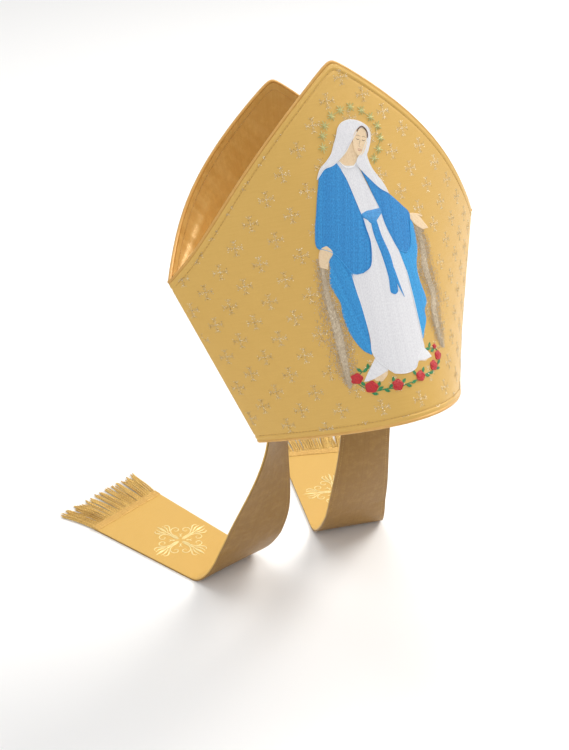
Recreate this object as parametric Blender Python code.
"""Bishop's mitre: two stiff brocade horns, piped edges, a satin gusset lining and two fringed lappets.

The mitre is modelled in its own frame, with the head opening flat and the front towards -Y, and then
leans back as it does on a head. The lappets hang from the back of the rim and lie on a table behind it.
Metres, +Z up. The origin is the centre of the head opening.
"""
import math

import bmesh
import bpy
import numpy as np
from mathutils import Euler

# Head opening, side points and horns, measured in the mitre's own frame
HEAD_HALF_WIDTH = 0.1013
HEAD_DEPTH = 0.1015
SIDE_HALF_WIDTH = 0.1521
SIDE_DEPTH = 0.0817
SIDE_HEIGHT = 0.152
HORN_HEIGHT = 0.3038
FRONT_TIP_DEPTH = 0.0712
BACK_TIP_DEPTH = 0.0407
LEAN_DEG = 24.6

# The top edge is one cubic curve from the side point to the tip. Its two handles are shares of the side
# half width, and of the rise from the side point to the tip. The curve goes on straight past the side point,
# out to a reach in half widths.
EDGE_HANDLES = (
    {"out": 0.743, "up": 0.273},
    {"out": 0.709, "up": 0.472},
)
TIP_ROUNDING = 0.004
EDGE_REACH = 1.2
SEAM_RADIUS = 0.003

# Cloth and trim
PANEL_CLOTH = 0.002
LINING_CLOTH = 0.001
PIPING_RADIUS = 0.0015
GAP = 0.0003
LINING_GAP = 0.0005

# Gusset lining between the horns
VALLEY_HEIGHT = 0.146
LINING_END_COLUMNS = 3
VALLEY_END_RISE = 4.0
TROUGH_FLOOR = 2.0
TROUGH_WALL = 3.0

# Soft ridges of the lining. "across" is a share of the half width, "up" a share of the way from the valley
# to the edge, "long" and "wide" are shares of the side height and "proud" a share of the side depth.
LINING_RIDGES = (
    {"horn": 1, "across": -0.80, "up": 0.62, "turn_deg": 35, "long": 0.20, "wide": 0.050, "proud": 0.045},
    {"horn": 1, "across": -0.60, "up": 0.80, "turn_deg": 20, "long": 0.22, "wide": 0.055, "proud": 0.040},
    {"horn": 1, "across": 0.70, "up": 0.70, "turn_deg": -30, "long": 0.20, "wide": 0.055, "proud": 0.040},
    {"horn": 1, "across": 0.10, "up": 0.55, "turn_deg": 8, "long": 0.26, "wide": 0.065, "proud": 0.030},
    {"horn": -1, "across": -0.66, "up": 0.66, "turn_deg": 28, "long": 0.20, "wide": 0.055, "proud": 0.040},
    {"horn": -1, "across": 0.58, "up": 0.72, "turn_deg": -24, "long": 0.22, "wide": 0.060, "proud": 0.040},
)

# Lappets. They are sewn inside the back rim, hang, swing back and lie on the table.
TABLE_DROP = 0.228
LAPPET_PLACE = 0.505
LAPPET_TOP_WIDTH = 0.051
LAPPET_END_WIDTH = 0.089
LAPPET_TUCK = 0.008
LAPPET_SWING = 0.078
LAPPET_LIE = 0.135
LAPPET_CLOTH = 0.0011
LAPPET_LINING_CLOTH = 0.001
LAPPET_YAW_DEG = 19.0
LAPPET_BEND_YAW_DEG = 2.0
HANG_HANDLE = 0.385
BEND_HANDLE = 0.5
STRAIGHT_SHARE = 0.6
YAW_SHARES = (0.7, 1.05)
LAPPET_SIDES = {"left": -1.0, "right": 1.0}

# Braid and bullion fringe at the end of each lappet
BRAID_LENGTH = 0.009
BRAID_CLOTH = 0.001
BRAID_OVERHANG = 0.003
FRINGE_HEAD = 0.004
FRINGE_CLOTH = 0.0022
FRINGE_LENGTH = 0.046
FRINGE_LOCKS = 18
FRINGE_FAN = 0.34
LOCK_TAPER = 0.80
LOCK_SHARE = 0.72
LOCK_LENGTHS = (0.0, -0.05, 0.02, -0.08, 0.0, -0.03, 0.04)

# Mesh density
PANEL_CELLS = (32, 12)
LINING_ROWS = 18
RING_POINTS = 56
EDGE_POINTS_PER_COLUMN = 2
LAPPET_CELLS = (4, 24)
LOCK_STEPS = 2
EDGE_SAMPLES = 240
PATH_SAMPLES = 160
DIFF_STEP = 1e-4

FRONT, BACK = -1.0, 1.0
TIP_DEPTHS = {FRONT: FRONT_TIP_DEPTH, BACK: BACK_TIP_DEPTH}
LEAN = math.radians(-LEAN_DEG)
BASE_TOP = 2.0 * PIPING_RADIUS + GAP
EDGE_DROP = 2.0 * PIPING_RADIUS + GAP
LINING_SEAT = PANEL_CLOTH + LINING_GAP + LINING_CLOTH
LAPPET_HALF = (LAPPET_CLOTH + GAP + LAPPET_LINING_CLOTH) / 2.0
LAPPET_SEAT = PANEL_CLOTH / 2.0 + PIPING_RADIUS + GAP + LAPPET_HALF
SEAM_SOFTNESS = math.sqrt(SEAM_RADIUS * HEAD_HALF_WIDTH) / HEAD_DEPTH

MATERIALS = {
    "brocade": {"colour": (0.57, 0.38, 0.13), "roughness": 0.5, "metallic": 0.15},
    "satin": {"colour": (0.50, 0.28, 0.08), "roughness": 0.32, "metallic": 0.1},
    "piping": {"colour": (0.45, 0.27, 0.08), "roughness": 0.35, "metallic": 0.1},
    "braid": {"colour": (0.62, 0.45, 0.16), "roughness": 0.45, "metallic": 0.4},
    "fringe": {"colour": (0.60, 0.44, 0.15), "roughness": 0.45, "metallic": 0.4},
}


def clear_scene():
    """Start from an empty file."""
    for item in list(bpy.data.objects):
        bpy.data.objects.remove(item, do_unlink=True)


def new_collection(name):
    """A collection for the mitre's pieces."""
    group = bpy.data.collections.new(name)
    bpy.context.scene.collection.children.link(group)
    return group


def material(name):
    """The plain material of a kind of cloth."""
    found = bpy.data.materials.get(name)
    if found:
        return found
    made = bpy.data.materials.new(name)
    made.use_nodes = True
    shader = made.node_tree.nodes["Principled BSDF"]
    look = MATERIALS[name]
    shader.inputs["Base Color"].default_value = (*look["colour"], 1.0)
    shader.inputs["Roughness"].default_value = look["roughness"]
    shader.inputs["Metallic"].default_value = look["metallic"]
    return made


def lean_back(points):
    """Turn points of the mitre's own frame to where they are when it leans back."""
    cos, sin = math.cos(LEAN), math.sin(LEAN)
    turned = np.array(points, dtype=float)
    turned[..., 1] = cos * points[..., 1] - sin * points[..., 2]
    turned[..., 2] = sin * points[..., 1] + cos * points[..., 2]
    return turned


def ring_half_width(height):
    """Half the width of the ring at a height: it widens in a straight line."""
    return HEAD_HALF_WIDTH + (SIDE_HALF_WIDTH - HEAD_HALF_WIDTH) * height / SIDE_HEIGHT


def ring_depth(height, horn):
    """Depth from the middle to a horn: a quadratic through the rim, the side point and the tip."""
    rim, side, tip = 0.0, SIDE_HEIGHT, HORN_HEIGHT
    at_rim = (height - side) * (height - tip) / ((rim - side) * (rim - tip))
    at_side = (height - rim) * (height - tip) / ((side - rim) * (side - tip))
    at_tip = (height - rim) * (height - side) / ((tip - rim) * (tip - side))
    return HEAD_DEPTH * at_rim + SIDE_DEPTH * at_side + TIP_DEPTHS[horn] * at_tip


def wall_point(turn, height, horn):
    """A point on the outside of a horn. turn runs from 0 at the right seam to pi at the left one.

    Seen from above, the ring is a parabola on each side, and the corner at the seam is a little rounded.
    """
    sine = np.sin(turn)
    bulge = sine * np.sqrt(sine**2 + SEAM_SOFTNESS**2) / math.sqrt(1.0 + SEAM_SOFTNESS**2)
    across = ring_half_width(height) * np.cos(turn)
    deep = horn * (ring_depth(height, horn) * bulge + GAP / 2.0)
    return np.stack([across, deep, height + 0.0 * turn], axis=-1)


def unit(vectors):
    """Vectors of length one."""
    return vectors / np.linalg.norm(vectors, axis=-1, keepdims=True)


def wall_inside(turn, height, horn, depth):
    """A point at a depth inside the outer face of a horn, along the face's normal."""
    round_step = wall_point(turn + DIFF_STEP, height, horn) - wall_point(turn - DIFF_STEP, height, horn)
    up_step = wall_point(turn, height + DIFF_STEP, horn) - wall_point(turn, height - DIFF_STEP, horn)
    inward = -horn * unit(np.cross(round_step, up_step))
    return wall_point(turn, height, horn) + inward * np.expand_dims(depth, -1)


def edge_height(turn, drop):
    """Height of the top edge above a turn round the ring, lowered square to the edge by a drop."""
    share = np.linspace(0.0, 1.0, EDGE_SAMPLES)[:, None]
    rise = HORN_HEIGHT - SIDE_HEIGHT
    corners = [(SIDE_HALF_WIDTH, SIDE_HEIGHT)]
    corners += [(row["out"] * SIDE_HALF_WIDTH, SIDE_HEIGHT + row["up"] * rise) for row in EDGE_HANDLES]
    corners += [(0.0, HORN_HEIGHT)]
    edge = cubic(corners, share)
    along = unit(np.gradient(edge, axis=0))
    edge = edge + drop * np.stack([-along[:, 1], along[:, 0]], axis=-1)
    across = edge[:, 0] / ring_half_width(edge[:, 1])
    slope = (edge[1, 1] - edge[0, 1]) / (across[1] - across[0])
    heights = np.concatenate([edge[::-1, 1], [edge[0, 1] + slope * (EDGE_REACH - across[0])]])
    places = np.concatenate([across[::-1], [EDGE_REACH]])
    rounding = TIP_ROUNDING / ring_half_width(HORN_HEIGHT)
    return np.interp(np.sqrt(np.cos(turn) ** 2 + rounding**2), places, heights)


def cubic(corners, share):
    """Points of a cubic Bezier curve at shares from 0 to 1."""
    first, second, third, last = (np.array(corner) for corner in corners)
    rest = 1.0 - share
    return rest**3 * first + 3 * rest**2 * share * second + 3 * rest * share**2 * third + share**3 * last


def finish(bm, name, kind, group):
    """Put a closed bmesh into an object with its material."""
    bmesh.ops.recalc_face_normals(bm, faces=bm.faces)
    if bm.calc_volume(signed=True) < 0.0:
        bmesh.ops.reverse_faces(bm, faces=bm.faces)
    mesh = bpy.data.meshes.new(name)
    bm.to_mesh(mesh)
    bm.free()
    mesh.shade_smooth()
    mesh.set_sharp_from_angle(angle=math.radians(40))
    mesh.materials.append(material(kind))
    made = bpy.data.objects.new(name, mesh)
    group.objects.link(made)
    return made


def flat_slab(cells):
    """A slab of cells, one unit on each side, which a rule then bends to its place."""
    bm = bmesh.new()
    bmesh.ops.create_grid(bm, x_segments=cells[0], y_segments=cells[1], size=0.5)
    bmesh.ops.translate(bm, verts=bm.verts, vec=(0.5, 0.5, 0.0))
    raised = bmesh.ops.extrude_face_region(bm, geom=list(bm.faces))["geom"]
    bmesh.ops.translate(bm, verts=[v for v in raised if isinstance(v, bmesh.types.BMVert)], vec=(0, 0, 1))
    return bm


def bend(bm, rule):
    """Move every corner of a flat slab to where a rule puts its two shares and its layer share."""
    flat = np.array([vert.co for vert in bm.verts])
    placed = rule(flat[:, 0], flat[:, 1], flat[:, 2])
    for vert, point in zip(bm.verts, placed):
        vert.co = point


def build_panel(name, horn, lean, group):
    """One stiff brocade horn, from the base piping up to the edge piping."""

    def rule(across, up, layer):
        turn = np.pi * across
        height = BASE_TOP + (edge_height(turn, EDGE_DROP) - BASE_TOP) * up
        return wall_inside(turn, height, horn, PANEL_CLOTH * layer)

    bm = flat_slab(PANEL_CELLS)
    bend(bm, rule)
    panel = finish(bm, name, "brocade", group)
    panel.parent = lean
    return panel


def ridge_height(across, up, horn):
    """How far the lining stands off its horn: soft ridges that slant in from the edges."""
    proud = np.zeros_like(across)
    wall = HORN_HEIGHT - VALLEY_HEIGHT
    for row in LINING_RIDGES:
        turn = math.radians(row["turn_deg"])
        side = (across - row["across"]) * SIDE_HALF_WIDTH
        rise = (up - row["up"]) * wall
        along = side * math.cos(turn) + rise * math.sin(turn)
        off = rise * math.cos(turn) - side * math.sin(turn)
        swell = np.exp(-((along / (row["long"] * SIDE_HEIGHT)) ** 2) - (off / (row["wide"] * SIDE_HEIGHT)) ** 2)
        proud += np.where(horn == row["horn"], row["proud"] * SIDE_DEPTH * swell, 0.0)
    return proud


def build_lining(name, lean, group):
    """The satin gusset: down the inside of one horn, across the valley and up the other."""
    columns = PANEL_CELLS[0] - 2 * LINING_END_COLUMNS
    start = np.pi * LINING_END_COLUMNS / PANEL_CELLS[0]

    def rule(across, trough, layer):
        turn = start + (np.pi - 2.0 * start) * across
        signed = 2.0 * trough - 1.0
        up = np.abs(signed)
        top = edge_height(turn, EDGE_DROP)
        valley = VALLEY_HEIGHT + (SIDE_HEIGHT - EDGE_DROP - VALLEY_HEIGHT) * np.cos(turn) ** VALLEY_END_RISE
        height = valley + (top - valley) * up**TROUGH_FLOOR
        depth = LINING_SEAT - LINING_CLOTH * layer
        horn = np.where(signed > 0.0, BACK, FRONT)
        front = wall_inside(turn, height, FRONT, depth)
        back = wall_inside(turn, height, BACK, depth)
        place = np.where((signed > 0.0)[:, None], back, front)
        spread = 1.0 - (1.0 - up) ** TROUGH_WALL
        ridge = ridge_height(np.cos(turn), up, horn) * np.sin(np.pi * up)
        floor = LINING_CLOTH * layer * (1.0 - up) ** TROUGH_WALL
        place[:, 1] = place[:, 1] * spread - horn * ridge
        place[:, 2] = place[:, 2] - floor
        return place

    bm = flat_slab((columns, LINING_ROWS))
    bend(bm, rule)
    lining = finish(bm, name, "satin", group)
    lining.parent = lean
    return lining


def build_piping(name, points, closed, lean, group):
    """A round piping along a path."""
    curve = bpy.data.curves.new(name, "CURVE")
    curve.dimensions = "3D"
    curve.bevel_depth = PIPING_RADIUS
    curve.bevel_resolution = 2
    curve.use_fill_caps = not closed
    line = curve.splines.new("POLY")
    line.points.add(len(points) - 1)
    line.points.foreach_set("co", np.column_stack([points, np.ones(len(points))]).ravel())
    line.use_cyclic_u = closed
    curve.materials.append(material("piping"))
    made = bpy.data.objects.new(name, curve)
    group.objects.link(made)
    made.parent = lean
    return made


def edge_path(horn):
    """The middle of the piping along the top edge of one horn, from side point to side point."""
    turn = np.linspace(0.0, np.pi, EDGE_POINTS_PER_COLUMN * PANEL_CELLS[0] + 1)
    path = wall_inside(turn, edge_height(turn, PIPING_RADIUS), horn, LINING_SEAT / 2.0)
    clear = PIPING_RADIUS + GAP / 2.0
    path[:, 1] = horn * np.maximum(np.abs(path[:, 1]), clear)
    return path


def ring_path():
    """The middle of the piping round the head opening."""
    round_trip = np.linspace(0.0, 2.0 * np.pi, RING_POINTS, endpoint=False)
    turn = np.where(round_trip < np.pi, round_trip, 2.0 * np.pi - round_trip)
    height = np.full(RING_POINTS, PIPING_RADIUS)
    back = wall_inside(turn, height, BACK, PANEL_CLOTH / 2.0)
    front = wall_inside(turn, height, FRONT, PANEL_CLOTH / 2.0)
    path = np.where((round_trip < np.pi)[:, None], back, front)
    path[np.sin(round_trip) ** 2 < DIFF_STEP, 1] = 0.0
    return path


class LappetForm:
    """The left lappet's form: where a spot of the flat strap lies once it is sewn on and laid down."""

    def __init__(self):
        self.turn = math.acos(-LAPPET_PLACE)
        anchor = self.rim(np.array([0.0]), np.array([0.0]))[0]
        drop = TABLE_DROP - LAPPET_HALF + anchor[2]
        share = np.linspace(0.0, 1.0, PATH_SAMPLES)[:, None]
        corners = (
            (0.0, 0.0),
            (0.0, -HANG_HANDLE * drop),
            (LAPPET_SWING * (1.0 - BEND_HANDLE), -drop),
            (LAPPET_SWING, -drop),
        )
        hang = cubic(corners, share)
        lie = [(LAPPET_SWING + LAPPET_LIE, -drop), (LAPPET_SWING + 2.0 * LAPPET_LIE, -drop)]
        profile = np.vstack([hang, lie])
        steps = np.linalg.norm(np.diff(profile, axis=0), axis=1)
        self.along = np.concatenate([[0.0], np.cumsum(steps)])
        self.bend_at = self.along[PATH_SAMPLES - 1]
        self.length = self.along[PATH_SAMPLES]
        yaw = math.radians(LAPPET_YAW_DEG)
        heading = np.array([-math.sin(yaw), math.cos(yaw)])
        self.middle = np.column_stack([anchor[:2] + profile[:, :1] * heading, anchor[2] + profile[:, 1]])

    def rim(self, across, height):
        """Points of the lappet's middle layer inside the back rim, spread along it."""
        ring = wall_point(np.array([self.turn]), np.array([0.0]), BACK)
        near = wall_point(np.array([self.turn + DIFF_STEP]), np.array([0.0]), BACK)
        turn_per_metre = DIFF_STEP / np.linalg.norm(near - ring)
        turn = self.turn - across * LAPPET_TOP_WIDTH * turn_per_metre
        return lean_back(wall_inside(turn, height, BACK, LAPPET_SEAT))

    def width(self, along):
        """Width of the strap: it widens towards its end, and the fringe beyond fans out."""
        flare = (LAPPET_END_WIDTH - LAPPET_TOP_WIDTH) / self.length
        beyond = np.maximum(along - self.length, 0.0)
        return LAPPET_TOP_WIDTH + flare * np.clip(along, 0.0, self.length) + FRINGE_FAN * beyond

    def middle_point(self, across, along):
        """A point of the middle layer. across is a share from -0.5 to 0.5, along is in metres."""
        centre = np.column_stack([np.interp(along, self.along, self.middle[:, axis]) for axis in range(3)])
        bend, end = math.radians(LAPPET_BEND_YAW_DEG), math.radians(LAPPET_YAW_DEG)
        yaw_places = [0.0, YAW_SHARES[0] * self.bend_at, YAW_SHARES[1] * self.bend_at, self.length]
        yaw = np.interp(along, yaw_places, [bend, bend, end, end])
        straight = np.column_stack([np.cos(yaw), np.sin(yaw), 0.0 * yaw]) * (across * self.width(along))[:, None]
        sewn = self.rim(across, np.zeros_like(across)) - self.rim(0.0 * across, np.zeros_like(across))
        free = np.clip(along / (STRAIGHT_SHARE * self.bend_at), 0.0, 1.0)[:, None]
        free = free * free * (3.0 - 2.0 * free)
        hung = centre + sewn * (1.0 - free) + straight * free
        tucked = self.rim(across, np.maximum(-along, 0.0))
        return np.where((along < 0.0)[:, None], tucked, hung)

    def point(self, across, along, proud):
        """A point that stands proud of the middle layer, on the brocade side."""
        here = self.middle_point(across, along)
        over = self.middle_point(across + DIFF_STEP, along) - self.middle_point(across - DIFF_STEP, along)
        down = self.middle_point(across, along + DIFF_STEP) - self.middle_point(across, along - DIFF_STEP)
        return here + unit(np.cross(over, down)) * proud[:, None]


def strap_rule(form, side, rows, low, high):
    """The rule that bends a flat slab into one layer of a lappet."""

    def rule(across, step, layer):
        along = np.interp(step, np.linspace(0.0, 1.0, len(rows)), rows)
        placed = form.point(across - 0.5, along, low + (high - low) * layer)
        placed[:, 0] *= -side
        return placed

    return rule


def build_strap(name, form, side, kind, low, high, group):
    """One cloth layer of a lappet, from its tuck inside the rim to its end."""
    rows = np.concatenate([[-LAPPET_TUCK], np.linspace(0.0, form.length, LAPPET_CELLS[1])])
    bm = flat_slab(LAPPET_CELLS)
    bend(bm, strap_rule(form, side, rows, low, high))
    return finish(bm, name, kind, group)


def build_braid(name, form, side, group):
    """The braid across the end of a lappet, over the cloth and the head of the fringe."""
    low = LAPPET_HALF + GAP
    rows = np.linspace(form.length - BRAID_LENGTH + BRAID_OVERHANG, form.length + BRAID_OVERHANG, 3)
    bm = flat_slab((LAPPET_CELLS[0], 2))
    bend(bm, strap_rule(form, side, rows, low, low + BRAID_CLOTH))
    return finish(bm, name, "braid", group)


def build_fringe(name, form, side, group):
    """The fringe: a head strip with tapered locks drawn out of it."""
    bm = flat_slab((2 * FRINGE_LOCKS - 1, 1))
    ends = [face for face in bm.faces if min(vert.co.y for vert in face.verts) > 0.5]
    ends.sort(key=lambda face: face.calc_center_median().x)
    for number, face in enumerate(ends[::2]):
        length = 1.0 + LOCK_LENGTHS[number % len(LOCK_LENGTHS)]
        for step in range(LOCK_STEPS):
            drawn = bmesh.ops.extrude_discrete_faces(bm, faces=[face])["faces"][0]
            centre = drawn.calc_center_median()
            for vert in drawn.verts:
                vert.co = centre + (vert.co - centre) * LOCK_TAPER
                vert.co.y += length / LOCK_STEPS
            face = drawn
    head_start = form.length + GAP
    low = -FRINGE_CLOTH / 2.0
    cells = np.where(np.arange(2 * FRINGE_LOCKS - 1) % 2 == 0, LOCK_SHARE, 1.0 - LOCK_SHARE)
    bounds = np.concatenate([[0.0], np.cumsum(cells)]) / cells.sum()
    even = np.linspace(0.0, 1.0, len(bounds))

    def rule(across, step, layer):
        across = np.interp(across, even, bounds)
        beyond = np.maximum(step - 1.0, 0.0) * (FRINGE_LENGTH - FRINGE_HEAD)
        along = head_start + np.minimum(step, 1.0) * FRINGE_HEAD + beyond
        placed = form.point(across - 0.5, along, low + FRINGE_CLOTH * layer)
        placed[:, 0] *= -side
        return placed

    bend(bm, rule)
    return finish(bm, name, "fringe", group)


def build_lappets(group):
    """Both lappets: the right one is the left one's mirror image."""
    form = LappetForm()
    middle = GAP / 2.0
    for word, side in LAPPET_SIDES.items():
        part = word + "_lappet_"
        build_strap(part + "face", form, side, "brocade", middle, middle + LAPPET_CLOTH, group)
        build_strap(part + "lining", form, side, "satin", -middle - LAPPET_LINING_CLOTH, -middle, group)
        build_braid(part + "braid", form, side, group)
        build_fringe(part + "fringe", form, side, group)


def main():
    """Build the whole mitre."""
    clear_scene()
    group = new_collection("bishop_mitre")
    lean = bpy.data.objects.new("lean", None)
    lean.rotation_euler = Euler((LEAN, 0.0, 0.0))
    group.objects.link(lean)
    build_panel("front_panel", FRONT, lean, group)
    build_panel("back_panel", BACK, lean, group)
    build_lining("crown_lining", lean, group)
    build_piping("front_edge_piping", edge_path(FRONT), False, lean, group)
    build_piping("back_edge_piping", edge_path(BACK), False, lean, group)
    build_piping("base_piping", ring_path(), True, lean, group)
    build_lappets(group)


main()
